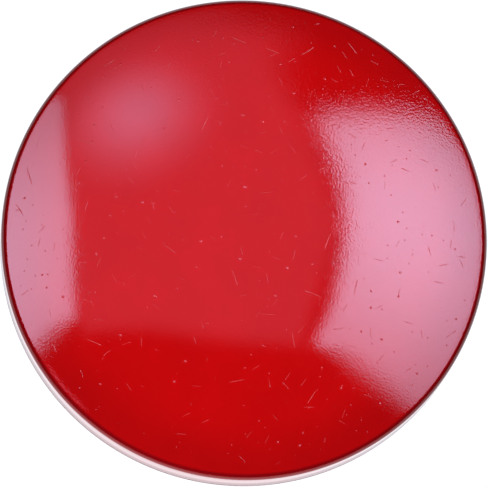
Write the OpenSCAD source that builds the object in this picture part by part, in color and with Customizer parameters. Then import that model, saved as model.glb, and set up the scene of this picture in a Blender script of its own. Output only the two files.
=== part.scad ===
// Dished blind flange: a pressed round cover welded over a flange ring, with four studs at its back.
// The origin is the centre of the gasket's sealing face. +Z points out through the crown of the
// cover, and the studs, washers and nuts lie towards -Z, behind the flange that the cover closes.

/* [Flange ring] */
// Outside diameter of the flange ring
flange_od = 190; // [158:1:230]
// Bore of the flange ring, open to the hollow of the cover
flange_bore = 90; // [50:1:115]
// Thickness of the flange ring at its bolt circle
flange_t = 15; // [10:0.5:20]
// Distance from the rim of the flange ring in to the circle of studs
stud_inset = 20; // [16:0.5:25]
// Distance from the circle of studs in to the edge of the raised face
face_inset = 11; // [10:0.5:14]
// Height of the raised face
raised_face_h = 3; // [2:0.5:5]
// Chamfer on the rim of the flange ring
flange_chamfer = 1; // [0.5:0.25:2]

/* [Cover] */
// Thickness of the pressed sheet
sheet_t = 2; // [1.5:0.25:3]
// Radius of the crown, outside
crown_r = 300; // [180:5:600]
// Radius of the knuckle between crown and skirt, outside
knuckle_r = 3.5; // [3.2:0.1:8]
// Length of skirt that reaches past the back of the flange ring
skirt_lip = 3; // [2.8:0.2:8]
// Radial gap between the flange ring and the skirt
cover_fit = 0.5; // [0.2:0.1:0.9]
// Height between the top of the flange ring and the start of the knuckle
knuckle_gap = 0.5; // [0.2:0.1:0.9]

/* [Rim weld] */
// Leg of the fillet weld between flange ring and skirt
weld_leg = 2.6; // [1.5:0.1:2.7]

/* [Gasket] */
// Thickness of the sealing gasket
gasket_t = 2; // [1:0.5:3]
// Distance of the gasket's edges inside the edges of the raised face
gasket_inset = 0.5; // [0:0.1:2]

/* [Mating flange] */
// Thickness of the flange that the studs pass through
mating_flange_t = 18; // [12:1:24]

/* [Studs] */
// Diameter of the plain shank
stud_d = 16; // [12:1:18]
// Amount by which the thread is thinner than the shank, on the diameter
thread_relief = 0.4; // [0.3:0.1:1]
// Radial clearance between the flange ring's tapped holes and the studs
tap_fit = 0.02; // [0.01:0.01:0.05]
// Length of thread above the nut's seat
thread_lead = 3; // [1:0.5:6]
// Length of stud past the nut
stud_tip = 10; // [4:1:20]
// Length by which a stud stands out of the flange ring inside the cover
stud_proud = 1; // [0:0.5:2]
// Chamfer at the ends of a stud
stud_chamfer = 1.5; // [0.5:0.25:2]

/* [Washers] */
// Width of the ring of a plain washer
washer_w = 6.5; // [4:0.5:8]
// Thickness of a plain washer
washer_t = 3; // [2:0.5:4]
// Radial clearance between a plain washer and the shank
washer_clear = 0.5; // [0.3:0.1:1]
// Width of the ring of a spring washer
spring_washer_w = 5; // [3:0.5:6]
// Thickness of a spring washer
spring_washer_t = 3.5; // [2.5:0.5:5]
// Radial clearance between a spring washer and the shank
spring_washer_clear = 0.3; // [0.3:0.1:1]
// Width of the split in a spring washer
split_w = 1.2; // [0.8:0.1:3]
// Slant of the split in a spring washer
split_angle = 25; // [0:5:40]

/* [Nuts] */
// Width of a nut across its flats
nut_af = 24; // [22:1:30]
// Height of a nut
nut_h = 13; // [10:0.5:16]
// Radial running clearance between nut and thread
nut_fit = 0.08; // [0.05:0.01:0.1]
// Running gap between nut and spring washer
nut_gap = 0.1; // [0.05:0.05:0.3]
// Share of the width across flats that a nut's end faces keep inside their chamfer
nut_face_share = 0.95; // [0.9:0.01:0.98]
// Slope of the chamfer on a nut's corners
nut_chamfer_angle = 30; // [20:5:40]

/* [Hidden] */
FIXTURES = ["stud", "plain_washer", "spring_washer", "hex_nut"];
stud_count = 4;

$fn = 96;
// the first stud stands halfway between +X and +Y, so the studs straddle both centre lines
first_stud_angle = 45;
// how far a cutting shape runs past the faces that it cuts
cut = 1;

// heights, counted along +Z from the gasket's sealing face, which is at 0
raised_face_z = gasket_t;
ring_back_z = raised_face_z + raised_face_h;
ring_top_z = ring_back_z + flange_t;
skirt_edge_z = ring_back_z - skirt_lip;
knuckle_z = ring_top_z + knuckle_gap;
washer_seat_z = -mating_flange_t;
spring_washer_top_z = washer_seat_z - washer_t;
nut_top_z = spring_washer_top_z - spring_washer_t - nut_gap;
nut_bottom_z = nut_top_z - nut_h;
stud_end_z = nut_bottom_z - stud_tip;
stud_inner_z = ring_top_z + stud_proud;
thread_start_z = washer_seat_z + thread_lead;

// radii
ring_r = flange_od / 2;
stud_circle_r = ring_r - stud_inset;
raised_face_r = stud_circle_r - face_inset;
skirt_inner_r = ring_r + cover_fit;
cover_r = skirt_inner_r + sheet_t;
knuckle_centre_r = cover_r - knuckle_r;
shank_r = stud_d / 2;
thread_r = shank_r - thread_relief / 2;
nut_bore_r = thread_r + nut_fit;
tap_r = thread_r + tap_fit;
washer_bore_r = shank_r + washer_clear;
washer_r = washer_bore_r + washer_w;
spring_washer_bore_r = shank_r + spring_washer_clear;
spring_washer_r = spring_washer_bore_r + spring_washer_w;

// the crown and the knuckle share a tangent on the line through their centres
crown_z = knuckle_z - sqrt(pow(crown_r - knuckle_r, 2) - pow(knuckle_centre_r, 2));
crown_angle = asin(knuckle_centre_r / (crown_r - knuckle_r));

// nut corners
nut_corner_r = nut_af / 2 / cos(30);
nut_face_r = nut_face_share * nut_af / 2;
nut_chamfer_h = (nut_corner_r - nut_face_r) * tan(nut_chamfer_angle);

red = [0.72, 0.05, 0.06];
steel = [0.62, 0.63, 0.64];
zinc = [0.76, 0.77, 0.78];
bead = [0.45, 0.44, 0.43];
rubber = [0.10, 0.10, 0.11];

// Puts its children on the axis of stud number k
module at_stud(k) {
  angle = first_stud_angle + (k - 1) * 360 / stud_count;
  rotate([0, 0, angle]) translate([stud_circle_r, 0, 0]) children();
}

// Half section of everything under the cover's skin, drawn in by inset from the outside.
// It reaches from floor_z up to the crown.
module cover_section(inset, floor_z) {
  reach = crown_r + cover_r;
  // under the crown
  intersection() {
    translate([0, crown_z]) circle(r = crown_r - inset, $fn = 360);
    translate([0, crown_z]) polygon([[0, 0], [0, reach], [reach * tan(crown_angle), reach]]);
    translate([0, floor_z]) square([cover_r, reach]);
  }
  // under the knuckle
  translate([knuckle_centre_r, knuckle_z]) circle(r = knuckle_r - inset);
  // inside the skirt
  translate([0, floor_z]) square([cover_r - inset, knuckle_z - floor_z]);
}

module dished_cover() {
  color(red) rotate_extrude() difference() {
    cover_section(0, skirt_edge_z);
    cover_section(sheet_t, skirt_edge_z - cut);
  }
}

// A disc whose lower or upper rim is chamfered
module chamfered_disc(r, h, chamfer, low = false, high = false) {
  low_h = low ? chamfer : 0;
  high_h = high ? chamfer : 0;
  if (low) cylinder(r1 = r - chamfer, r2 = r, h = chamfer);
  translate([0, 0, low_h]) cylinder(r = r, h = h - low_h - high_h);
  if (high) translate([0, 0, h - chamfer]) cylinder(r1 = r, r2 = r - chamfer, h = chamfer);
}

module flange_ring() {
  through_h = ring_top_z - raised_face_z + 2 * cut;
  color(steel) difference() {
    union() {
      translate([0, 0, ring_back_z]) chamfered_disc(ring_r, flange_t, flange_chamfer, high = true);
      translate([0, 0, raised_face_z]) cylinder(r = raised_face_r, h = raised_face_h + flange_t / 2);
    }
    translate([0, 0, raised_face_z - cut]) {
      cylinder(d = flange_bore, h = through_h);
      for (k = [1 : stud_count]) at_stud(k) cylinder(r = tap_r, h = through_h);
    }
  }
}

// Fillet in the corner between the back of the flange ring and the skirt
module rim_weld() {
  color(bead) rotate_extrude() translate([skirt_inner_r, ring_back_z])
    polygon([[0, 0], [-weld_leg, 0], [0, -weld_leg]]);
}

module face_gasket() {
  color(rubber) difference() {
    cylinder(r = raised_face_r - gasket_inset, h = gasket_t);
    translate([0, 0, -cut]) cylinder(r = flange_bore / 2 + gasket_inset, h = gasket_t + 2 * cut);
  }
}

// Double-ended stud: one thread sits in the flange ring, the plain shank passes through the mating
// flange, and the other thread carries the nut
module stud(k) {
  color(zinc) at_stud(k) {
    translate([0, 0, ring_back_z])
      chamfered_disc(thread_r, stud_inner_z - ring_back_z, stud_chamfer / 2, high = true);
    translate([0, 0, thread_start_z]) cylinder(r = shank_r, h = ring_back_z - thread_start_z);
    translate([0, 0, stud_end_z])
      chamfered_disc(thread_r, thread_start_z - stud_end_z, stud_chamfer, low = true);
  }
}

module plain_washer(k) {
  color(zinc) at_stud(k) translate([0, 0, spring_washer_top_z]) difference() {
    cylinder(r = washer_r, h = washer_t);
    translate([0, 0, -cut]) cylinder(r = washer_bore_r, h = washer_t + 2 * cut);
  }
}

// Drawn flat, as it is when the nut is tight
module spring_washer(k) {
  color(zinc) at_stud(k) translate([0, 0, spring_washer_top_z - spring_washer_t]) difference() {
    cylinder(r = spring_washer_r, h = spring_washer_t);
    translate([0, 0, -cut]) cylinder(r = spring_washer_bore_r, h = spring_washer_t + 2 * cut);
    translate([0, 0, spring_washer_t / 2]) rotate([split_angle, 0, 0])
      translate([0, -split_w / 2, -2 * spring_washer_t])
        cube([spring_washer_r + cut, split_w, 4 * spring_washer_t]);
  }
}

module hex_nut(k) {
  color(zinc) at_stud(k) translate([0, 0, nut_bottom_z]) difference() {
    intersection() {
      cylinder(r = nut_corner_r, h = nut_h, $fn = 6);
      rotate_extrude() polygon([
        [0, 0], [nut_face_r, 0], [nut_corner_r, nut_chamfer_h],
        [nut_corner_r, nut_h - nut_chamfer_h], [nut_face_r, nut_h], [0, nut_h]
      ]);
    }
    translate([0, 0, -cut]) cylinder(r = nut_bore_r, h = nut_h + 2 * cut);
  }
}

dished_cover();
flange_ring();
rim_weld();
face_gasket();
for (k = [1 : stud_count]) {
  stud(k);
  plain_washer(k);
  spring_washer(k);
  hex_nut(k);
}
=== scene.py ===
"""Looks of a dished blind flange, laid out as an add-on and run as a script.

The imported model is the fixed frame. Every piece below stands for one of its nodes, in metres, in
the same frame: the origin is the centre of the gasket's sealing face and +Z points out through the
crown of the cover.
"""

import math

import bmesh
import bpy
from mathutils import Euler, Matrix, Vector, noise


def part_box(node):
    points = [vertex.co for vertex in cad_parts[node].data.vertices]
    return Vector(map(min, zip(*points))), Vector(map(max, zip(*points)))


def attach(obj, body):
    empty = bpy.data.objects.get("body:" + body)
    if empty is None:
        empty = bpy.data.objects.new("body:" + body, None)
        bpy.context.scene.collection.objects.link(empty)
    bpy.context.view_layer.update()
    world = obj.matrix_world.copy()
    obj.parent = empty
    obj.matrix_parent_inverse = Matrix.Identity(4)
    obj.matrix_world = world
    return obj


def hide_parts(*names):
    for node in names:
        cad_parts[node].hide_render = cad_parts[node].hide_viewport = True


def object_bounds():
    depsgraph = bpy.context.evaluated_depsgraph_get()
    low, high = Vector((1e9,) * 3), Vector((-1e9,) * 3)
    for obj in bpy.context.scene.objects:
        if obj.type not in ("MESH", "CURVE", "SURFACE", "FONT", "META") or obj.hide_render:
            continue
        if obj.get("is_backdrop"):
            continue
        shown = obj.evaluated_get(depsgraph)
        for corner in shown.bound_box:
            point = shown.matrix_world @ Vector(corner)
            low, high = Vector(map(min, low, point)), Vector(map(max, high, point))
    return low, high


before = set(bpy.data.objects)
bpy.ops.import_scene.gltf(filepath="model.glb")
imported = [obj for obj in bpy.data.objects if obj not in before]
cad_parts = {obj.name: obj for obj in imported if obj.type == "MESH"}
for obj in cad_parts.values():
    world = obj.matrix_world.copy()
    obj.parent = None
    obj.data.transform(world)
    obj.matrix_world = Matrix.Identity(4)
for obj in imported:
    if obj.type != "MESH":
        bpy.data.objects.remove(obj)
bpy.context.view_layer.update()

bl_info = {
    "name": "Dished blind flange",
    "version": (1, 0, 0),
    "blender": (4, 5, 0),
    "location": "3D View > Sidebar > Blind flange",
    "description": "Builds the cover, ring, weld, gasket, studs, washers and nuts of a blind flange",
    "category": "Object",
}

MM = 0.001
MICRON = 0.000001
STUD_COUNT = 4
FULL_TURN = 2 * math.pi
# points of a mesh that lie closer together than this are one point
SAME_POINT = 0.5e-6
# edges sharper than this many degrees are shaded as edges
SHARP = 30
# depth of a thread in pitches, and the section of one turn from crest to crest, as stops (share of
# the pitch, share of the depth)
THREAD_DEPTH = 0.6134
THREAD_SECTION = [(0.0, 0.0), (0.125, 0.0), (0.28, 0.5), (0.4375, 1.0), (0.6875, 1.0), (0.845, 0.5)]


# ---------------------------------------------------------------- settings


def length(name, description, default):
    """A length in metres that a user can change."""
    return bpy.props.FloatProperty(
        name=name, description=description, default=default, min=0.0, precision=5, unit="LENGTH"
    )


def share(name, description, default):
    """A number from 0 to 1 that a user can change."""
    return bpy.props.FloatProperty(
        name=name, description=description, default=default, min=0.0, max=1.0, subtype="FACTOR"
    )


def colour(name, description, default):
    """A colour in linear light that a user can change."""
    return bpy.props.FloatVectorProperty(
        name=name, description=description, default=default, size=3, subtype="COLOR"
    )


def angle(name, description, degrees):
    """An angle that a user can change."""
    return bpy.props.FloatProperty(
        name=name, description=description, default=math.radians(degrees), subtype="ANGLE"
    )


def number(name, description, default):
    """A plain number that a user can change."""
    return bpy.props.FloatProperty(name=name, description=description, default=default)


class CoverSettings(bpy.types.PropertyGroup):
    """The pressed cover and its coat."""

    sheet: length("Sheet", "Thickness of the pressed sheet", 2 * MM)
    knuckle: length("Knuckle", "Outer radius of the bend between crown and skirt", 3.5 * MM)
    knuckle_gap: length("Knuckle gap", "Height from the ring's top to the bend", 0.5 * MM)
    edge: length("Edge rounding", "Rounding along the skirt's lower edge", 0.5 * MM)
    coat: colour("Coat", "Colour of the glossy outer coat", (0.62, 0.0026, 0.0038))
    # painted shade: a darker coat colour laid round the bend and over the outer crown, where the rim is
    # in shade
    painted_shade_coat: colour("Painted shade coat", "Colour of the coat round the bend", (0.19, 0.0015, 0.0034))
    gloss: share("Roughness", "Roughness of the outer coat", 0.055)
    peel: length("Orange peel", "Width of the ripples in the coat", 0.8 * MM)
    peel_height: length("Peel height", "Height of the ripples in the coat", 40 * MICRON)
    wave: length("Waves", "Width of the slow waves left by pressing", 32 * MM)
    wave_height: length("Wave height", "Height of the slow waves", 50 * MICRON)
    nib_height: length("Nib height", "Height of the dust nibs under the coat", 0.12 * MM)
    scratch_depth: length("Scratch depth", "Depth of the fine scuffs in the coat", 0.16 * MM)
    # the dark band along the skirt's lower edge is partly worn steel and partly a painted shadow line
    worn: length("Worn and shaded band", "Height of the worn band along the skirt's lower edge", 2 * MM)
    wear_and_shadow_colour: colour("Worn and shaded edge", "Colour of the worn lower edge of the skirt", (0.13, 0.11, 0.11))
    # painted glints: the scuffs and dust nibs are lightened with this colour
    mark: colour("Scuff glints", "Colour of the fine scuffs in the coat", (0.86, 0.16, 0.17))


class RingSettings(bpy.types.PropertyGroup):
    """The flange ring, its weld and its gasket."""

    steel: colour("Steel", "Colour of the turned ring", (0.50, 0.50, 0.49))
    bore: length("Bore", "Diameter of the ring's bore", 90 * MM)
    tap_fit: length("Tap fit", "Radial clearance between a tapped hole and its stud", 0.02 * MM)
    chamfer: length("Rim chamfer", "Chamfer on the ring's outer rim", 1 * MM)
    edge: length("Edge break", "Width of the broken edges", 0.4 * MM)
    groove: length("Groove pitch", "Pitch of the serrated sealing face", 0.8 * MM)
    countersink: length("Countersink", "Width of the countersink round each tapped hole", 0.9 * MM)
    bead: colour("Bead", "Colour of the weld bead", (0.30, 0.28, 0.27))
    ripple: length("Ripple", "Pitch of the ripples along the weld bead", 1.6 * MM)
    ripple_height: length("Ripple height", "Height of the ripples on the weld bead", 0.13 * MM)
    inset: length("Gasket inset", "Distance from the raised face's edges to the gasket's", 0.5 * MM)
    rubber: colour("Gasket", "Colour of the gasket", (0.022, 0.024, 0.027))


class FastenerSettings(bpy.types.PropertyGroup):
    """Studs, washers and nuts."""

    zinc: colour("Zinc", "Colour of the zinc plating", (0.47, 0.48, 0.50))
    spring: colour("Spring steel", "Colour of the spring washers", (0.24, 0.235, 0.23))
    pitch: length("Pitch", "Pitch of the threads", 2 * MM)
    shank: length("Shank", "Diameter of the plain shank", 16 * MM)
    relief: length("Thread relief", "Amount by which the thread is thinner than the shank", 0.4 * MM)
    chamfer: length("End chamfer", "Chamfer on the ends of the studs", 1.5 * MM)
    lead: length("Thread lead", "Length of thread between the shank and the plain washer", 3 * MM)
    across_flats: length("Across flats", "Width of a nut across its flats", 24 * MM)
    face: share("Face share", "Share of the flats' width inside a nut's chamfers", 0.95)
    slope: angle("Nut chamfer", "Slope of the chamfers on a nut's corners", 30)
    nut_fit: length("Nut fit", "Radial clearance between nut and thread", 0.08 * MM)
    washer_fit: length("Washer fit", "Radial clearance between plain washer and shank", 0.5 * MM)
    spring_fit: length("Spring washer fit", "Radial clearance of a spring washer", 0.3 * MM)
    spring_width: length("Spring washer width", "Width of a spring washer's ring", 5 * MM)
    split: length("Split", "Width of the split in a spring washer", 1.2 * MM)
    slant: angle("Split slant", "Slant of the split in a spring washer", 25)


class StageSettings(bpy.types.PropertyGroup):
    """Floor, lights and camera."""

    tilt: angle("Camera tilt", "Angle between the camera and the cover's axis", 10.1)
    roll: angle("Camera roll", "Turn of the camera about its own line of sight", 18.5)
    distance: length("Camera distance", "Distance from the camera to the cover", 2.4)
    target: length("Camera target", "Height that the camera looks at", 10.5 * MM)
    lens: number("Lens", "Focal length of the camera in millimetres", 440.2)
    shift_x: number("Shift across", "Sideways shift of the camera, in picture widths", 0.0019)
    shift_y: number("Shift up", "Upward shift of the camera, in picture widths", -0.0020)
    floor_light: colour("Floor", "Light that comes off the floor", (0.95, 0.95, 1.0))
    floor_power: number("Floor power", "Strength of the floor's own light", 1.12)
    skirt_power: number("Skirt light", "Strength of the floor's light close below the skirt", 1.6)
    shade: share("Floor shade", "Share of the floor's light lost below the ring", 0.45)
    shade_core: length("Shade core", "Radius of the darkest part of the floor's shade", 30 * MM)
    shade_rim: length("Shade rim", "Radius at which the floor's shade ends", 85 * MM)
    ceiling: length("Ceiling", "Height of the light panels over the sealing face", 1.2)
    soft_box: colour("Soft boxes", "Colour of the two soft boxes", (0.62, 0.68, 0.98))
    box_power: number("Soft box edge", "Strength of the soft boxes at their edges", 4.4)
    right_power: number("Right soft box", "Strength in the middle of the right soft box", 12.6)
    left_power: number("Left soft box", "Strength in the middle of the left soft box", 9.4)
    scrim: colour("Scrim", "Colour of the dim scrim between the soft boxes", (1.0, 0.27, 0.40))
    scrim_power: number("Scrim power", "Strength of the scrim", 1.6)
    strip_power: number("Strip power", "Strength of the thin strip by the left soft box", 5.0)
    glow: colour("Glow", "Colour of the glow on the scrim", (0.60, 0.62, 1.0))
    glow_power: number("Glow power", "Strength of the glow on the scrim", 4.2)
    lamp_power: number("Lamp power", "Power of the overhead lamp in watts", 1.33)
    lamp_height: length("Lamp height", "Height of the overhead lamp over the crown", 0.5)
    front_power: number("Front power", "Power of the low front lamp in watts", 14.0)
    ambient: number("Ambient", "Strength of the light from all round", 0.40)


# ---------------------------------------------------------------- materials


class Signal:
    """One output of a node, so that shader maths reads as plain arithmetic."""

    def __init__(self, graph, socket):
        self.graph = graph
        self.socket = socket

    def output(self, name):
        """Another output of the same node."""
        return Signal(self.graph, self.socket.node.outputs[name])

    def math(self, operation, *others):
        """This value put through a Math node."""
        inputs = dict(enumerate((self, *others)))
        return self.graph.node("ShaderNodeMath", {"operation": operation}, inputs)

    def rise(self, low, high):
        """0 below low, 1 above high, and a smooth step between them."""
        return self.graph.node(
            "ShaderNodeMapRange",
            {"interpolation_type": "SMOOTHSTEP"},
            {"Value": self, "From Min": low, "From Max": high},
        )

    def fall(self, low, high):
        """1 below low, 0 above high, and a smooth step between them."""
        return 1 - self.rise(low, high)

    def __add__(self, other):
        return self.math("ADD", other)

    def __radd__(self, other):
        return self.math("ADD", other)

    def __sub__(self, other):
        return self.math("SUBTRACT", other)

    def __rsub__(self, other):
        return self.graph.node("ShaderNodeMath", {"operation": "SUBTRACT"}, {0: other, 1: self})

    def __mul__(self, other):
        return self.math("MULTIPLY", other)

    def __rmul__(self, other):
        return self.math("MULTIPLY", other)

    def __truediv__(self, other):
        return self.math("DIVIDE", other)

    def __abs__(self):
        return self.math("ABSOLUTE")


class Graph:
    """The node tree of one material."""

    def __init__(self, name):
        self.material = bpy.data.materials.new(name)
        self.material.use_nodes = True
        self.tree = self.material.node_tree
        self.tree.nodes.clear()

    def node(self, kind, settings=None, inputs=None):
        """Adds a node, sets it up, feeds its sockets and gives its first output in use."""
        made = self.tree.nodes.new(kind)
        for name, value in (settings or {}).items():
            setattr(made, name, value)
        for name, value in (inputs or {}).items():
            if isinstance(value, Signal):
                self.tree.links.new(value.socket, made.inputs[name])
            else:
                made.inputs[name].default_value = value
        used = [socket for socket in made.outputs if socket.enabled]
        return Signal(self, used[0]) if used else None

    def place(self):
        """Position on the piece, in metres, in the frame's axes."""
        return self.node("ShaderNodeTexCoord").output("Object")

    def noise(self, place, size, detail=2.0, roughness=0.5):
        """Noise from 0 to 1 whose lumps are about size wide."""
        inputs = {"Vector": place, "Scale": 1 / size, "Detail": detail, "Roughness": roughness}
        return self.node("ShaderNodeTexNoise", None, inputs)

    def mix(self, factor, first, second):
        """A colour between two others, which are the Mix node's inputs 6 and 7."""
        inputs = {0: factor, 6: rgba(first), 7: rgba(second)}
        return self.node("ShaderNodeMix", {"data_type": "RGBA"}, inputs)

    def vector(self, operation, *values):
        """A Vector Math node."""
        return self.node("ShaderNodeVectorMath", {"operation": operation}, dict(enumerate(values)))

    def bump(self, height):
        """A normal that follows a height given in metres."""
        return self.node("ShaderNodeBump", None, {"Height": height, "Distance": 1.0})

    def surface(self, inputs):
        """Finishes the material with one shader and gives the material."""
        return self.finish(self.node("ShaderNodeBsdfPrincipled", None, inputs))

    def finish(self, shader):
        """Links a shader to the output and gives the material."""
        self.node("ShaderNodeOutputMaterial", None, {"Surface": shader})
        return self.material


def rgba(value):
    """A colour as a socket takes it: a signal stays as it is, and three numbers get an alpha."""
    return value if isinstance(value, Signal) else (*value, 1.0)


def scaled(value, amount):
    """A colour made darker or lighter."""
    return tuple(part * amount for part in value)


def nibs(graph, place, cell, size, kept):
    """Small round spots: 1 in the middle of a spot. Kept is the share of cells that hold one."""
    inputs = {"Vector": place, "Scale": 1 / cell}
    near = graph.node("ShaderNodeTexVoronoi", {"voronoi_dimensions": "2D"}, inputs)
    chance = graph.node("ShaderNodeSeparateColor", None, {"Color": near.output("Color")})
    width = size / cell * (0.5 + chance.output("Green"))
    return (near.output("Distance") / width).fall(0.2, 1.0) * chance.fall(kept, kept + 0.01)


def strokes(graph, place, cell, reach, width, kept):
    """Fine marks at random angles: 1 on a mark. Kept is the share of cells that hold one."""
    inputs = {"Vector": place, "Scale": 1 / cell}
    near = graph.node("ShaderNodeTexVoronoi", {"voronoi_dimensions": "2D"}, inputs)
    from_middle = graph.vector("SUBTRACT", place, near.output("Position"))
    step = graph.node("ShaderNodeSeparateXYZ", None, {"Vector": from_middle})
    chance = graph.node("ShaderNodeSeparateColor", None, {"Color": near.output("Color")})
    turn = chance.output("Green") * math.pi
    across_x = turn.math("SINE")
    across_y = turn.math("COSINE")
    along = step * across_y + step.output("Y") * across_x
    curl = 30 * (chance.output("Blue") - 0.5)
    bend = along * along * curl
    across = abs(step.output("Y") * across_y - step * across_x + bend)
    on_line = across.fall(width * 0.3, width)
    in_reach = abs(along).fall(reach * 0.25, reach * 0.5)
    return on_line * in_reach * chance.fall(kept, kept + 0.01)


def outer_coat(look, bend_radius, edge_z):
    """Glossy red coat with orange peel, slow waves, dust nibs and fine scuffs, with painted shade round
    the bend, painted glints on the scuffs and nibs, and a lower edge darkened partly by wear and partly
    as a painted shadow line.
    """
    graph = Graph("red_gloss_coat")
    place = graph.place()
    axes = graph.node("ShaderNodeSeparateXYZ", None, {"Vector": place})
    flat = graph.node("ShaderNodeCombineXYZ", None, {"X": axes, "Y": axes.output("Y")})
    radius = graph.vector("LENGTH", flat)
    on_crown = radius.fall(bend_radius - 3 * MM, bend_radius - 1 * MM)
    over_bend = radius.rise(bend_radius + 0.8 * MM, bend_radius + 2.1 * MM)

    peel = graph.noise(place, look.peel, detail=1.5)
    wave = graph.noise(place, look.wave, detail=1.0)
    grit_and_glints = nibs(graph, flat, cell=9 * MM, size=0.45 * MM, kept=0.3) * on_crown
    dust = nibs(graph, flat, cell=5 * MM, size=0.24 * MM, kept=0.4) * on_crown
    scuffs = strokes(graph, flat, cell=15 * MM, reach=7 * MM, width=0.18 * MM, kept=0.22)
    hairs = strokes(graph, flat, cell=6.5 * MM, reach=4 * MM, width=0.12 * MM, kept=0.26)
    marks = (0.5 * scuffs + 0.34 * hairs) * on_crown
    # the coat lies thicker, and ripples more, towards +Y and +X
    thick_side = (axes.output("Y") + 0.5 * axes).rise(-25 * MM, 90 * MM)
    height = peel * (0.4 + 0.75 * thick_side) * look.peel_height + wave * look.wave_height
    height = height + (grit_and_glints + 0.6 * dust) * look.nib_height - marks * look.scratch_depth

    patch = graph.noise(place, 21 * MM, detail=3.0)
    tone = graph.mix(patch.rise(0.3, 0.75), scaled(look.coat, 0.96), scaled(look.coat, 1.03))
    # painted shade: the coat is darkened over the outer part of the crown
    outwards = radius.rise(72 * MM, bend_radius)
    tone = graph.mix(outwards * 0.28, tone, look.painted_shade_coat)
    # painted shade: the coat is darkened further round the bend
    tone = graph.mix(over_bend, tone, look.painted_shade_coat)
    # dark band along the skirt's lower edge: partly worn steel, partly a painted shadow line
    wear_and_shadow_top = edge_z + look.worn
    wear_and_shadow_band = axes.output("Z").fall(wear_and_shadow_top, wear_and_shadow_top + 1 * MM) * over_bend
    tone = graph.mix(wear_and_shadow_band * 0.8, tone, look.wear_and_shadow_colour)
    # painted glints: the scuffs and dust nibs are lightened
    tone = graph.mix(0.6 * marks + 0.2 * grit_and_glints, tone, look.mark)
    haze = graph.noise(place, 9 * MM, detail=4.0, roughness=0.6)
    return graph.surface(
        {
            "Base Color": tone,
            "Roughness": look.gloss + 0.03 * (haze - 0.5) + 0.25 * marks + 0.6 * wear_and_shadow_band,
            "IOR": 1.5,
            "Normal": graph.bump(height),
        }
    )


def inner_coat(look):
    """Thin satin coat on the inner side of the cover, dusty from the spray booth."""
    graph = Graph("red_satin_coat")
    place = graph.place()
    grain = graph.noise(place, 0.9 * MM, detail=3.0)
    patch = graph.noise(place, 17 * MM, detail=3.0)
    tone = graph.mix(patch.rise(0.3, 0.7), scaled(look.coat, 0.5), scaled(look.coat, 0.68))
    return graph.surface(
        {
            "Base Color": tone,
            "Roughness": 0.42 + 0.2 * (patch - 0.5),
            "Normal": graph.bump(grain * (30 * MICRON)),
        }
    )


def turned_steel(look, face_inner, face_outer, face_z):
    """Lathe-turned steel: fine rings everywhere and a serrated band on the sealing face."""
    graph = Graph("turned_steel")
    place = graph.place()
    axes = graph.node("ShaderNodeSeparateXYZ", None, {"Vector": place})
    flat = graph.node("ShaderNodeCombineXYZ", None, {"X": axes, "Y": axes.output("Y")})
    radius = graph.vector("LENGTH", flat)
    turned = graph.node("ShaderNodeCombineXYZ", None, {"X": radius, "Y": axes.output("Z")})
    rings = graph.noise(turned, 0.35 * MM, detail=2.0)
    serration = (radius * (FULL_TURN / look.groove)).math("SINE")
    outside_bore = radius.rise(face_inner, face_inner + 0.5 * MM)
    inside_rim = radius.fall(face_outer - 1 * MM, face_outer)
    at_height = axes.output("Z").fall(face_z + 0.2 * MM, face_z + 0.4 * MM)
    on_face = outside_bore * inside_rim * at_height
    stain = graph.noise(place, 13 * MM, detail=5.0, roughness=0.6)
    tone = graph.mix(stain.rise(0.42, 0.75), look.steel, scaled(look.steel, 0.62))
    tone = graph.mix(rings.rise(0.35, 0.7) * 0.3, tone, scaled(look.steel, 1.25))
    return graph.surface(
        {
            "Base Color": tone,
            "Metallic": 1.0,
            "Roughness": 0.27 + 0.2 * stain.rise(0.4, 0.8) + 0.1 * rings,
            "Normal": graph.bump(rings * (12 * MICRON) + serration * on_face * (30 * MICRON)),
        }
    )


def weld_metal(look):
    """Bare weld metal, from straw to blue grey, with specks of slag."""
    graph = Graph("weld_metal")
    place = graph.place()
    tint = graph.noise(place, 7 * MM, detail=3.0)
    fine = graph.noise(place, 0.5 * MM, detail=3.0)
    specks = nibs(graph, place, cell=1.9 * MM, size=0.25 * MM, kept=0.25)
    blue_grey = (0.23, 0.25, 0.31)
    straw = (0.42, 0.29, 0.15)
    slag = (0.05, 0.045, 0.04)
    tone = graph.mix(tint.rise(0.35, 0.65), look.bead, blue_grey)
    tone = graph.mix(tint.rise(0.55, 0.8) * 0.6, tone, straw)
    tone = graph.mix(specks, tone, slag)
    return graph.surface(
        {
            "Base Color": tone,
            "Metallic": 1 - 0.8 * specks,
            "Roughness": 0.34 + 0.25 * fine,
            "Normal": graph.bump(fine * (30 * MICRON) + specks * (60 * MICRON)),
        }
    )


def gasket_rubber(look):
    """Dull fibre-reinforced rubber with pale specks of fibre."""
    graph = Graph("gasket_rubber")
    place = graph.place()
    grain = graph.noise(place, 0.45 * MM, detail=3.0, roughness=0.6)
    fibre = strokes(graph, place, cell=2.6 * MM, reach=1.9 * MM, width=0.07 * MM, kept=0.45)
    bloom = graph.noise(place, 11 * MM, detail=3.0)
    pale_fibre = (0.16, 0.15, 0.13)
    tone = graph.mix(bloom.rise(0.4, 0.75) * 0.5, look.rubber, scaled(look.rubber, 2.4))
    tone = graph.mix(fibre * 0.35, tone, pale_fibre)
    return graph.surface(
        {
            "Base Color": tone,
            "Roughness": 0.62 + 0.25 * grain,
            "Normal": graph.bump(grain * (40 * MICRON)),
        }
    )


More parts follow.
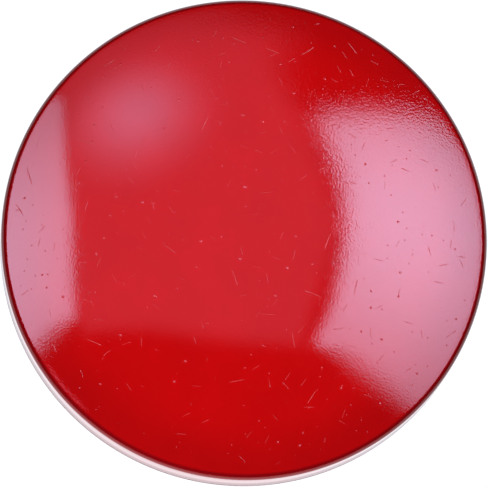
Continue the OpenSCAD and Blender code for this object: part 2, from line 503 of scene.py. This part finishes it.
def plated_steel(look):
    """Zinc plating, a little cloudy, with fine scratches from handling."""
    graph = Graph("zinc_plating")
    place = graph.place()
    cloud = graph.noise(place, 4 * MM, detail=4.0, roughness=0.6)
    fine = graph.noise(place, 0.35 * MM, detail=2.0)
    scratch = strokes(graph, place, cell=3.4 * MM, reach=3 * MM, width=0.06 * MM, kept=0.35)
    dull_zinc = (0.44, 0.42, 0.37)
    bright_zinc = (0.62, 0.63, 0.64)
    tone = graph.mix(cloud.rise(0.35, 0.75), look.zinc, dull_zinc)
    tone = graph.mix(scratch * 0.6, tone, bright_zinc)
    return graph.surface(
        {
            "Base Color": tone,
            "Metallic": 1.0,
            "Roughness": 0.24 + 0.18 * cloud + 0.15 * scratch,
            "Normal": graph.bump(fine * (6 * MICRON) + cloud * (10 * MICRON)),
        }
    )


def spring_steel(look):
    """Dark phosphated spring steel, oily and uneven."""
    graph = Graph("spring_steel")
    place = graph.place()
    cloud = graph.noise(place, 3 * MM, detail=4.0, roughness=0.6)
    grain = graph.noise(place, 0.25 * MM, detail=2.0)
    tone = graph.mix(cloud.rise(0.35, 0.7), look.spring, scaled(look.spring, 0.55))
    return graph.surface(
        {
            "Base Color": tone,
            "Metallic": 0.9,
            "Roughness": 0.32 + 0.2 * grain + 0.12 * cloud,
            "Normal": graph.bump(grain * (14 * MICRON)),
        }
    )


# ---------------------------------------------------------------- meshes


def arc(centre, radius, start, end, steps):
    """Points (r, z) of an arc. Its angles are in degrees from straight up, turning outwards."""
    found = []
    for i in range(steps + 1):
        turn = math.radians(start + (end - start) * i / steps)
        found.append((centre[0] + radius * math.sin(turn), centre[1] + radius * math.cos(turn)))
    return found


def lathe(profile, segments, closed=True):
    """Vertices and faces of a profile (r, z) turned about Z. A point with r = 0 is a pole."""
    verts = []
    rows = []
    for r, z in profile:
        count = 1 if r < 1e-9 else segments
        rows.append(range(len(verts), len(verts) + count))
        for i in range(count):
            turn = FULL_TURN * i / segments
            verts.append((r * math.cos(turn), r * math.sin(turn), z))
    faces = []
    pairs = list(zip(rows, rows[1:]))
    if closed:
        pairs.append((rows[-1], rows[0]))
    for high, low in pairs:
        for i in range(segments):
            k = (i + 1) % segments
            corners = [high[i % len(high)], low[i % len(low)], low[k % len(low)], high[k % len(high)]]
            faces.append(list(dict.fromkeys(corners)))
    return verts, [face for face in faces if len(face) > 2]


def merged(*parts):
    """Several lists of vertices and faces as one."""
    verts = []
    faces = []
    for part_verts, part_faces in parts:
        faces += [[i + len(verts) for i in face] for face in part_faces]
        verts += part_verts
    return verts, faces


def piece(name, shape, body, node, materials, sharp=SHARP):
    """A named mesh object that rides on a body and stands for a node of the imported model."""
    mesh = bpy.data.meshes.new(name)
    mesh.from_pydata(shape[0], [], shape[1])
    tool = bmesh.new()
    tool.from_mesh(mesh)
    bmesh.ops.remove_doubles(tool, verts=tool.verts, dist=SAME_POINT)
    bmesh.ops.recalc_face_normals(tool, faces=tool.faces)
    tool.to_mesh(mesh)
    tool.free()
    for material in materials:
        mesh.materials.append(material)
    mesh.shade_smooth()
    mesh.set_sharp_from_angle(angle=math.radians(sharp))
    made = bpy.data.objects.new(name, mesh)
    bpy.context.scene.collection.objects.link(made)
    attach(made, body)
    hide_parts(node)
    return made


def at_stud(number, shape):
    """A shape built on the Z axis, put on the axis of one stud and turned to face outwards."""
    low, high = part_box(f"stud_{number}")
    middle = (low + high) / 2
    turn = Matrix.Rotation(math.atan2(middle.y, middle.x), 3, "Z")
    shift = Vector((middle.x, middle.y, 0))
    return [tuple(turn @ Vector(v) + shift) for v in shape[0]], shape[1]


def cover_shape(look):
    """The pressed cover, with the radius where its crown meets its bend."""
    low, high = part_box("dished_cover")
    outer = high.x
    bend_r = outer - look.knuckle
    bend_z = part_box("flange_ring")[1].z + look.knuckle_gap
    rise = high.z - bend_z
    crown = (rise**2 - look.knuckle**2 + bend_r**2) / (2 * (rise - look.knuckle))
    crown_z = high.z - crown
    slope = math.degrees(math.asin(bend_r / (crown - look.knuckle)))
    inner = outer - look.sheet
    edge = look.edge
    profile = arc((0, crown_z), crown, 0, slope, steps=44)
    profile += arc((bend_r, bend_z), look.knuckle, slope, 90, steps=14)[1:]
    profile += arc((outer - edge, low.z + edge), edge, 90, 180, steps=5)
    profile += arc((inner + edge, low.z + edge), edge, 180, 270, steps=5)
    profile += arc((bend_r, bend_z), look.knuckle - look.sheet, 90, slope, steps=8)
    profile += arc((0, crown_z), crown - look.sheet, slope, 0, steps=24)[1:]
    return lathe(profile, segments=256, closed=False), bend_r


def ring_back():
    """Height of the ring's back, where the weld starts and the studs come out."""
    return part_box("rim_weld")[1].z


def ring_shape(look):
    """The turned ring with its raised face and broken edges, not yet bored for the studs."""
    low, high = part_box("flange_ring")
    back_z = ring_back()
    bore = look.bore / 2
    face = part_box("face_gasket")[1].x + look.inset
    edge = look.edge
    chamfer = look.chamfer
    profile = [
        (bore + edge, low.z),
        (face - edge, low.z),
        (face, low.z + edge),
        (face, back_z - edge),
        (face + edge, back_z),
        (high.x - edge, back_z),
        (high.x, back_z + edge),
        (high.x, high.z - chamfer),
        (high.x - chamfer, high.z),
        (bore + edge, high.z),
        (bore, high.z - edge),
        (bore, low.z + edge),
    ]
    return lathe(profile, segments=256)


def cut_holes(ring, back_z, top_z, radius, sink):
    """Bores the ring for the studs and countersinks both ends of each hole."""
    past = 1 * MM
    profile = [
        (0, top_z + past),
        (radius + sink + past, top_z + past),
        (radius, top_z - sink),
        (radius, back_z + sink),
        (radius + sink + past, back_z - past),
        (0, back_z - past),
    ]
    plug = lathe(profile, segments=64, closed=False)
    verts, faces = merged(*[at_stud(k, plug) for k in range(1, STUD_COUNT + 1)])
    mesh = bpy.data.meshes.new("drill")
    mesh.from_pydata(verts, [], faces)
    tool = bmesh.new()
    tool.from_mesh(mesh)
    bmesh.ops.recalc_face_normals(tool, faces=tool.faces)
    tool.to_mesh(mesh)
    tool.free()
    drill = bpy.data.objects.new("drill", mesh)
    bpy.context.scene.collection.objects.link(drill)
    cut = ring.modifiers.new("holes", "BOOLEAN")
    cut.operation = "DIFFERENCE"
    cut.solver = "EXACT"
    cut.object = drill
    graph = bpy.context.evaluated_depsgraph_get()
    bored = bpy.data.meshes.new_from_object(ring.evaluated_get(graph))
    ring.modifiers.remove(cut)
    ring.data = bored
    ring.data.name = ring.name
    bored.set_sharp_from_angle(angle=math.radians(SHARP))
    bpy.data.objects.remove(drill)


def bead_shape(look):
    """Fillet weld in the corner between ring and skirt, with crescent ripples along it."""
    low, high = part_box("rim_weld")
    outer = high.x
    leg = high.z - low.z
    count = round(FULL_TURN * (outer - leg) / look.ripple)
    segments = count * 5
    across = 7
    # the root lies a little inside the ring and the skirt, and the face of the bead is crowned
    root_r = outer + 0.15 * MM
    root_z = high.z + 0.15 * MM
    crown = 0.3 * MM
    verts = []
    for i in range(segments):
        turn = FULL_TURN * i / segments
        spot = Vector((math.cos(turn), math.sin(turn), 0)) * 9
        swell = 1 + 0.07 * noise.noise(spot)
        unevenness = 0.8 * noise.noise(spot * 3)
        for j in range(across):
            part = j / (across - 1)
            bow = math.sin(math.pi * part)
            phase = count * turn + 2.2 * bow + unevenness
            bulge = bow * (crown + look.ripple_height * math.cos(phase)) * math.sqrt(0.5)
            r = root_r - leg * swell * (1 - part) - bulge
            z = root_z - leg * swell * part - bulge
            verts.append((r * math.cos(turn), r * math.sin(turn), z))
        verts.append((root_r * math.cos(turn), root_r * math.sin(turn), root_z))
    width = across + 1
    faces = []
    for i in range(segments):
        here = i * width
        there = (i + 1) % segments * width
        for j in range(width):
            k = (j + 1) % width
            faces.append([here + j, here + k, there + k, there + j])
    return verts, faces


def ring_profile(inner, outer, low, high, edge):
    """Section of a flat ring with broken edges."""
    return [
        (inner + edge, low),
        (outer - edge, low),
        (outer, low + edge),
        (outer, high - edge),
        (outer - edge, high),
        (inner + edge, high),
        (inner, high - edge),
        (inner, low + edge),
    ]


def thread_depth(part):
    """Depth of a thread at a share of its pitch, from 0 on the crest to 1 at the root."""
    part = part % 1.0
    stops = THREAD_SECTION + [(1.0, 0.0)]
    for (at, value), (next_at, next_value) in zip(stops, stops[1:]):
        if part <= next_at:
            return value + (next_value - value) * (part - at) / (next_at - at)
    return 0.0


def rod(top, bottom, crest, pitch, chamfer_top=0, chamfer_bottom=0, runout=0):
    """A rod with a right-handed thread, closed at both ends.

    The thread fades out towards the top over the length runout.
    """
    depth = THREAD_DEPTH * pitch
    around = 40
    turns = math.ceil((top - bottom) / pitch) + 2
    verts = []
    rows = turns * len(THREAD_SECTION)
    for i in range(around + 1):
        turn = FULL_TURN * i / around
        for j in range(rows + 1):
            lap, stop = divmod(j, len(THREAD_SECTION))
            z = bottom + pitch * (lap + THREAD_SECTION[stop][0] - 1 + i / around)
            z = min(max(z, bottom), top)
            cut = thread_depth((z - bottom) / pitch - i / around) * depth
            if runout > 0:
                cut *= min(1.0, (top - z) / runout)
            r = crest - cut
            r = min(r, crest - chamfer_bottom + (z - bottom))
            r = min(r, crest - chamfer_top + (top - z))
            verts.append((r * math.cos(turn), r * math.sin(turn), z))
    faces = []
    width = rows + 1
    for i in range(around):
        for j in range(rows):
            here = i * width + j
            faces.append([here, here + width, here + width + 1, here + 1])
    middle = len(verts)
    verts += [(0, 0, bottom), (0, 0, top)]
    for i in range(around):
        faces.append([middle, (i + 1) * width, i * width])
        faces.append([middle + 1, i * width + rows, (i + 1) * width + rows])
    return verts, faces


def stud_shape(look, number):
    """Double-ended stud: a thread in the ring, a plain shank, and a thread for the nut."""
    low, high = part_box(f"stud_{number}")
    back_z = ring_back()
    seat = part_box(f"plain_washer_{number}")[1].z
    start = seat + look.lead
    crest = (look.shank - look.relief) / 2
    shank = look.shank / 2
    edge = 0.3 * MM
    # the shank's pointed ends reach into the two threads
    point = 0.2 * MM
    profile = [
        (0, back_z + point),
        (shank - edge, back_z),
        (shank, back_z - edge),
        (shank, start + edge),
        (crest, start),
        (0, start - point),
    ]
    inner_chamfer = look.chamfer / 2
    runout = 1.6 * look.pitch
    return merged(
        rod(high.z, back_z, crest, look.pitch, chamfer_top=inner_chamfer),
        lathe(profile, segments=64, closed=False),
        rod(start, low.z, crest, look.pitch, chamfer_bottom=look.chamfer, runout=runout),
    )


def nut_shape(look, number):
    """Hexagon nut, chamfered on both faces, with countersunk ends to its bore."""
    low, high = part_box(f"hex_nut_{number}")
    flat = look.across_flats / 2
    face = look.face * flat
    # the corners are slightly blunt
    corner = 0.988 * flat / math.cos(math.radians(30))
    bore = (look.shank - look.relief) / 2 + look.nut_fit
    sink = 0.9 * MM
    around = 6 * 12
    rim_low = []
    rim_high = []
    for i in range(around):
        turn = FULL_TURN * i / around
        from_flat = (turn % math.radians(60)) - math.radians(30)
        r = min(flat / math.cos(from_flat), corner)
        lift = max(r - face, 0) * math.tan(look.slope)
        rim_low.append((r * math.cos(turn), r * math.sin(turn), low.z + lift))
        rim_high.append((r * math.cos(turn), r * math.sin(turn), high.z - lift))

    def circle(r, z):
        """One ring of points."""
        steps = [FULL_TURN * i / around for i in range(around)]
        return [(r * math.cos(turn), r * math.sin(turn), z) for turn in steps]

    rows = [
        circle(bore, low.z + sink),
        circle(bore + sink, low.z),
        circle(face, low.z),
        rim_low,
        rim_high,
        circle(face, high.z),
        circle(bore + sink, high.z),
        circle(bore, high.z - sink),
    ]
    faces = []
    for j in range(len(rows)):
        k = (j + 1) % len(rows)
        for i in range(around):
            n = (i + 1) % around
            faces.append([j * around + i, j * around + n, k * around + n, k * around + i])
    return [v for row in rows for v in row], faces


def washer_shape(look, number):
    """Stamped washer: the edges of its lower face are rolled over, those of its upper face crisp."""
    low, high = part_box(f"plain_washer_{number}")
    outer = (high.x - low.x) / 2
    bore = look.shank / 2 + look.washer_fit
    roll = 0.8 * MM
    bore_roll = 0.3 * MM
    crisp = 0.15 * MM
    profile = [
        (bore + crisp, high.z),
        (outer - crisp, high.z),
        (outer, high.z - crisp),
        *arc((outer - roll, low.z + roll), roll, 90, 180, steps=5),
        *arc((bore + bore_roll, low.z + bore_roll), bore_roll, 180, 270, steps=3),
        (bore, high.z - crisp),
    ]
    return lathe(profile, segments=96)


def spring_washer_shape(look, number):
    """Split ring of near-square section, its two ends cut on the slant."""
    low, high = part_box(f"spring_washer_{number}")
    bore = look.shank / 2 + look.spring_fit
    outer = bore + look.spring_width
    edge = 0.35 * MM
    middle = (low.z + high.z) / 2
    half = look.split / 2 / math.cos(look.slant)
    section = ring_profile(bore, outer, low.z, high.z, edge)
    steps = 72
    verts = []
    for i in range(steps + 1):
        for r, z in section:
            lean = (middle - z) * math.tan(look.slant)
            start = (half + lean) / r
            end = FULL_TURN + (lean - half) / r
            turn = start + (end - start) * i / steps
            verts.append((r * math.cos(turn), r * math.sin(turn), z))
    width = len(section)
    faces = []
    for i in range(steps):
        for j in range(width):
            k = (j + 1) % width
            faces.append([i * width + j, i * width + k, (i + 1) * width + k, (i + 1) * width + j])
    faces.append(list(range(width)))
    faces.append([steps * width + j for j in range(width)])
    return verts, faces


# ---------------------------------------------------------------- stage


def light_panel(name, outline, height, light, spot):
    """A flat panel with a soft border that shows only in reflections.

    The outline is a list of points (x, y, border) in shares of the height, where border is the
    width over which the light fades there. Light is the panel's colour and strength. Spot is its
    brighter part: a middle (x, y) and a radius in shares of the height, a colour and a strength.
    """
    count = len(outline)
    corners = [Vector(point[:2]) for point in outline]
    area = sum(a.x * b.y - b.x * a.y for a, b in zip(corners, corners[1:] + corners[:1]))
    side = 1 if area > 0 else -1
    verts = []
    glow = []
    for i, corner in enumerate(corners):
        before = (corner - corners[i - 1]).normalized()
        after = (corners[(i + 1) % count] - corner).normalized()
        inwards = Vector((-before.y - after.y, before.x + after.x)).normalized() * side
        for step, value in ((-0.5, 0.0), (0.5, 1.0)):
            moved = (corner + inwards * outline[i][2] * step) * height
            verts.append((moved.x, moved.y, height))
            glow.append(value)
    faces = [[2 * i + 1 for i in range(count)]]
    for i in range(count):
        k = (i + 1) % count
        faces.append([2 * i, 2 * k, 2 * k + 1, 2 * i + 1])
    mesh = bpy.data.meshes.new(name)
    mesh.from_pydata(verts, [], faces)
    mesh.attributes.new("glow", "FLOAT", "POINT").data.foreach_set("value", glow)

    graph = Graph(name)
    tone, power = light
    spot_middle, spot_radius, spot_tone, spot_power = spot
    middle = (spot_middle[0] * height, spot_middle[1] * height, height)
    distance = graph.vector("DISTANCE", graph.place(), middle)
    in_spot = distance.fall(0.0, spot_radius * height)
    edge = graph.node("ShaderNodeAttribute", {"attribute_name": "glow"}).output("Fac").rise(0.0, 1.0)
    strength = edge * (power + (spot_power - power) * in_spot)
    shade = graph.mix(in_spot, tone, spot_tone)
    shader = graph.node("ShaderNodeEmission", None, {"Color": shade, "Strength": strength})
    mesh.materials.append(graph.finish(shader))
    made = bpy.data.objects.new(name, mesh)
    bpy.context.scene.collection.objects.link(made)
    made.visible_camera = False
    made.visible_diffuse = False
    made.visible_shadow = False
    made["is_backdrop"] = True


def floor(name, height, tone, steps):
    """A pale plain floor that can be looked through from below.

    Steps are pairs (radius, strength) of its light, from the part's axis outwards.
    """
    half = 6.0
    corners = [(-half, -half), (half, -half), (half, half), (-half, half)]
    mesh = bpy.data.meshes.new(name)
    mesh.from_pydata([(x, y, height) for x, y in corners], [], [(0, 1, 2, 3)])
    graph = Graph(name)
    from_axis = graph.vector("LENGTH", graph.vector("MULTIPLY", graph.place(), (1, 1, 0)))
    strength = steps[0][1]
    for (radius, power), (next_radius, next_power) in zip(steps, steps[1:]):
        strength = (next_power - power) * from_axis.rise(radius, next_radius) + strength
    pale = graph.node("ShaderNodeEmission", None, {"Color": rgba(tone), "Strength": strength})
    clear = graph.node("ShaderNodeBsdfTransparent")
    below = graph.node("ShaderNodeNewGeometry").output("Backfacing")
    shader = graph.node("ShaderNodeMixShader", None, {0: below, 1: pale, 2: clear})
    mesh.materials.append(graph.finish(shader))
    made = bpy.data.objects.new(name, mesh)
    bpy.context.scene.collection.objects.link(made)
    made.visible_diffuse = False
    made.visible_shadow = False
    made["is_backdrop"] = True
    return made


def floors(look, height):
    """Two floors in one place: a softly shaded one that is seen, and one that the gloss mirrors.

    The mirrored one has a bright ring round the part that lights up the skirt.
    """
    power = look.floor_power
    dim = power * (1 - look.shade)
    steps = [(look.shade_core, dim), (look.shade_rim, power)]
    seen = floor("floor", height, look.floor_light, steps)
    seen.visible_glossy = False
    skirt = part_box("dished_cover")[1].x
    steps = [
        (look.shade_core, dim),
        (skirt + 2 * MM, 1.4 * dim),
        (skirt + 7 * MM, look.skirt_power),
        (skirt + 22 * MM, look.skirt_power),
        (skirt + 50 * MM, power),
    ]
    mirrored = floor("floor_mirrored", height, look.floor_light, steps)
    mirrored.visible_camera = False


def soft_boxes(look):
    """The two large soft boxes. The right one has a round inner side."""
    edge = (look.soft_box, look.box_power)
    right = [(x, y, 0.035) for x, y in arc((-0.49, 0.08), 0.82, 45, 102, steps=8)]
    right += [(0.50, -0.11, 0.11), (0.72, -0.17, 0.11), (0.95, -0.22, 0.06), (1.0, 0.2, 0.06)]
    right += [(0.95, 0.6, 0.06), (0.78, 0.86, 0.06), (0.62, 0.91, 0.05), (0.5, 0.9, 0.03)]
    right += [(0.3, 0.78, 0.03)]
    spot = ((0.50, 0.42), 0.78, look.soft_box, look.right_power)
    light_panel("soft_box_right", right, look.ceiling, edge, spot)
    left = [(-0.81, 0.50, 0.04), (-0.71, 0.33, 0.04), (-0.57, 0.07, 0.05), (-0.45, -0.25, 0.06)]
    left += [(-0.57, -0.40, 0.11), (-0.72, -0.50, 0.11), (-0.95, -0.2, 0.05), (-1.0, 0.3, 0.05)]
    left += [(-0.95, 0.55, 0.05)]
    spot = ((-0.80, -0.15), 0.75, look.soft_box, look.left_power)
    light_panel("soft_box_left", left, look.ceiling, edge, spot)


def thin_strip(look):
    """A thin strip light by the lower end of the left soft box."""
    border = 0.008
    strip = [(-0.53, -0.47), (-0.45, -0.53), (-0.36, -0.57), (-0.37, -0.585)]
    strip += [(-0.46, -0.545), (-0.54, -0.485)]
    outline = [(x, y, border) for x, y in strip]
    light = (look.scrim, look.strip_power)
    light_panel("strip", outline, look.ceiling, light, ((-0.43, -0.5), 0.1, *light))


def dim_scrim(look):
    """A dim scrim just above the soft boxes, with a glow on it."""
    far = [(-0.10, 1.02), (-0.45, 1.05), (-0.85, 0.85)]
    near = [(-0.9, 0.5), (-0.56, -0.05), (-0.40, -0.29), (-0.20, -0.21), (0.06, -0.16)]
    near += [(0.27, -0.1), (0.27, 0.3)]
    outline = [(0.0, 0.70, 0.08)]
    outline += [(x, y, 0.35) for x, y in far]
    outline += [(x, y, 0.08) for x, y in near]
    haze = (look.scrim, look.scrim_power)
    glow = ((-0.49, 0.48), 0.34, look.glow, look.glow_power)
    light_panel("scrim", outline, look.ceiling + 10 * MM, haze, glow)


def backdrop():
    """A pale dome behind everything, seen by the camera alone."""
    mesh = bpy.data.meshes.new("backdrop")
    tool = bmesh.new()
    bmesh.ops.create_uvsphere(tool, u_segments=48, v_segments=24, radius=9.0)
    tool.to_mesh(mesh)
    tool.free()
    graph = Graph("backdrop")
    white = {"Color": rgba((1, 1, 1)), "Strength": 1.05}
    mesh.materials.append(graph.finish(graph.node("ShaderNodeEmission", None, white)))
    made = bpy.data.objects.new("backdrop", mesh)
    bpy.context.scene.collection.objects.link(made)
    made.visible_diffuse = False
    made.visible_glossy = False
    made.visible_transmission = False
    made.visible_shadow = False
    made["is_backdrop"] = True


def ambient(look):
    """Even light from all round that leaves the reflections dark."""
    world = bpy.data.worlds.new("studio")
    bpy.context.scene.world = world
    world.use_nodes = True
    back = world.node_tree.nodes["Background"]
    back.inputs["Color"].default_value = rgba((1.0, 1.0, 1.0))
    back.inputs["Strength"].default_value = look.ambient
    world.cycles_visibility.camera = False
    world.cycles_visibility.glossy = False


def lamp(name, place, size, power):
    """Disc lamp aimed at the cover. The soft boxes alone show in the gloss."""
    data = bpy.data.lights.new(name, "AREA")
    data.shape = "DISK"
    data.size = size
    data.energy = power
    data.cycles.use_multiple_importance_sampling = False
    made = bpy.data.objects.new(name, data)
    made.location = place
    made.rotation_euler = Vector(place).to_track_quat("Z", "Y").to_euler()
    made.visible_glossy = False
    made.visible_camera = False
    bpy.context.scene.collection.objects.link(made)


def camera(look):
    """Camera on a slight tilt over the cover."""
    data = bpy.data.cameras.new("camera")
    data.sensor_width = 36.0
    data.lens = look.lens
    data.clip_start = 0.1
    data.clip_end = 50.0
    data.shift_x = look.shift_x
    data.shift_y = look.shift_y
    made = bpy.data.objects.new("camera", data)
    spin = Euler((look.tilt, 0, 0)).to_matrix() @ Matrix.Rotation(look.roll, 3, "Z")
    made.rotation_euler = spin.to_euler()
    made.location = Vector((0, 0, look.target)) + spin @ Vector((0, 0, look.distance))
    bpy.context.scene.collection.objects.link(made)
    bpy.context.scene.camera = made


# ---------------------------------------------------------------- operators


class BLINDFLANGE_OT_cover(bpy.types.Operator):
    """Builds the pressed and coated cover"""

    bl_idname = "blind_flange.cover"
    bl_label = "Build the cover"

    def execute(self, context):
        look = context.scene.flange_cover
        shape, bend_r = cover_shape(look)
        low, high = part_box("dished_cover")
        coats = [outer_coat(look, bend_r, low.z), inner_coat(look)]
        made = piece("cover", shape, "cover", "dished_cover", coats, sharp=50)
        middle = Vector((0, 0, low.z))
        for face in made.data.polygons:
            centre = face.center
            outside = face.normal.dot(centre - middle) >= 0
            on_skirt = math.hypot(centre.x, centre.y) > high.x - 1.2 * look.sheet
            upper = on_skirt and face.normal.z > 0
            face.material_index = 0 if outside or upper else 1
        return {"FINISHED"}


class BLINDFLANGE_OT_ring(bpy.types.Operator):
    """Builds the turned ring with its tapped holes"""

    bl_idname = "blind_flange.ring"
    bl_label = "Build the ring"

    def execute(self, context):
        look = context.scene.flange_ring
        studs = context.scene.flange_fasteners
        gasket_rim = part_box("face_gasket")[1]
        steel = turned_steel(look, look.bore / 2, gasket_rim.x, gasket_rim.z)
        made = piece("ring", ring_shape(look), "cover", "flange_ring", [steel])
        tap = (studs.shank - studs.relief) / 2 + look.tap_fit
        cut_holes(made, ring_back(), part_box("flange_ring")[1].z, tap, look.countersink)
        return {"FINISHED"}


class BLINDFLANGE_OT_weld(bpy.types.Operator):
    """Builds the weld bead between ring and skirt"""

    bl_idname = "blind_flange.weld"
    bl_label = "Build the weld"

    def execute(self, context):
        look = context.scene.flange_ring
        piece("weld", bead_shape(look), "cover", "rim_weld", [weld_metal(look)], sharp=60)
        return {"FINISHED"}


class BLINDFLANGE_OT_gasket(bpy.types.Operator):
    """Builds the flat gasket"""

    bl_idname = "blind_flange.gasket"
    bl_label = "Build the gasket"

    def execute(self, context):
        look = context.scene.flange_ring
        low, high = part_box("face_gasket")
        inner = look.bore / 2 + look.inset
        profile = ring_profile(inner, high.x, low.z, high.z, edge=0.25 * MM)
        shape = lathe(profile, segments=192)
        rubber = [gasket_rubber(look)]
        piece("gasket", shape, "cover", "face_gasket", rubber)
        return {"FINISHED"}


class BLINDFLANGE_OT_fasteners(bpy.types.Operator):
    """Builds the studs, washers, spring washers and nuts"""

    bl_idname = "blind_flange.fasteners"
    bl_label = "Build the fasteners"

    def execute(self, context):
        look = context.scene.flange_fasteners
        zinc = plated_steel(look)
        spring = spring_steel(look)
        for k in range(1, STUD_COUNT + 1):
            kinds = [
                ("stud", stud_shape(look, k), "cover", zinc, "zinc_steel"),
                ("plain_washer", washer_shape(look, k), f"washers_{k}", zinc, "zinc_steel"),
                ("spring_washer", spring_washer_shape(look, k), f"washers_{k}", spring, "spring_steel"),
                ("hex_nut", nut_shape(look, k), f"nut_{k}", zinc, "zinc_steel"),
            ]
            for name, shape, body, material, slot in kinds:
                node = f"{name}_{k}"
                piece(f"{node}_look", at_stud(k, shape), body, node, [material], sharp=22)
        return {"FINISHED"}


class BLINDFLANGE_OT_stage(bpy.types.Operator):
    """Builds the floor, the soft light and the camera"""

    bl_idname = "blind_flange.stage"
    bl_label = "Build the stage"

    def execute(self, context):
        look = context.scene.flange_stage
        low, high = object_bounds()
        context.scene.view_settings.view_transform = "Standard"
        floors(look, low.z)
        backdrop()
        ambient(look)
        overhead = (-0.03, 0.02, high.z + look.lamp_height)
        # the front lamp stands below the floor, which casts no shadow
        front = (0.05, -0.9, -0.25)
        lamp("lamp_overhead", overhead, size=0.12, power=look.lamp_power)
        lamp("lamp_front", front, size=0.8, power=look.front_power)
        soft_boxes(look)
        thin_strip(look)
        dim_scrim(look)
        camera(look)
        return {"FINISHED"}


class BLINDFLANGE_PT_panel(bpy.types.Panel):
    """Lists the pieces that can be built"""

    bl_label = "Blind flange"
    bl_idname = "BLINDFLANGE_PT_panel"
    bl_space_type = "VIEW_3D"
    bl_region_type = "UI"
    bl_category = "Blind flange"

    def draw(self, context):
        for step in STEPS:
            self.layout.operator(step.bl_idname)
        for name in SETTINGS:
            look = getattr(context.scene, name)
            box = self.layout.box()
            for item in look.bl_rna.properties:
                if item.identifier not in {"rna_type", "name"}:
                    box.prop(look, item.identifier)


SETTINGS = {
    "flange_cover": CoverSettings,
    "flange_ring": RingSettings,
    "flange_fasteners": FastenerSettings,
    "flange_stage": StageSettings,
}
STEPS = (
    BLINDFLANGE_OT_cover,
    BLINDFLANGE_OT_ring,
    BLINDFLANGE_OT_weld,
    BLINDFLANGE_OT_gasket,
    BLINDFLANGE_OT_fasteners,
    BLINDFLANGE_OT_stage,
)
CLASSES = (*SETTINGS.values(), *STEPS, BLINDFLANGE_PT_panel)


def register():
    """Makes the settings, operators and panel known."""
    for item in CLASSES:
        bpy.utils.register_class(item)
    for name, group in SETTINGS.items():
        setattr(bpy.types.Scene, name, bpy.props.PointerProperty(type=group))


def unregister():
    """Takes the panel, operators and settings away again."""
    for name in SETTINGS:
        delattr(bpy.types.Scene, name)
    for item in reversed(CLASSES):
        bpy.utils.unregister_class(item)


def main():
    """Builds every piece and the stage."""
    register()
    for step in STEPS:
        group, name = step.bl_idname.split(".")
        getattr(getattr(bpy.ops, group), name)()


if __name__ == "__main__":
    main()
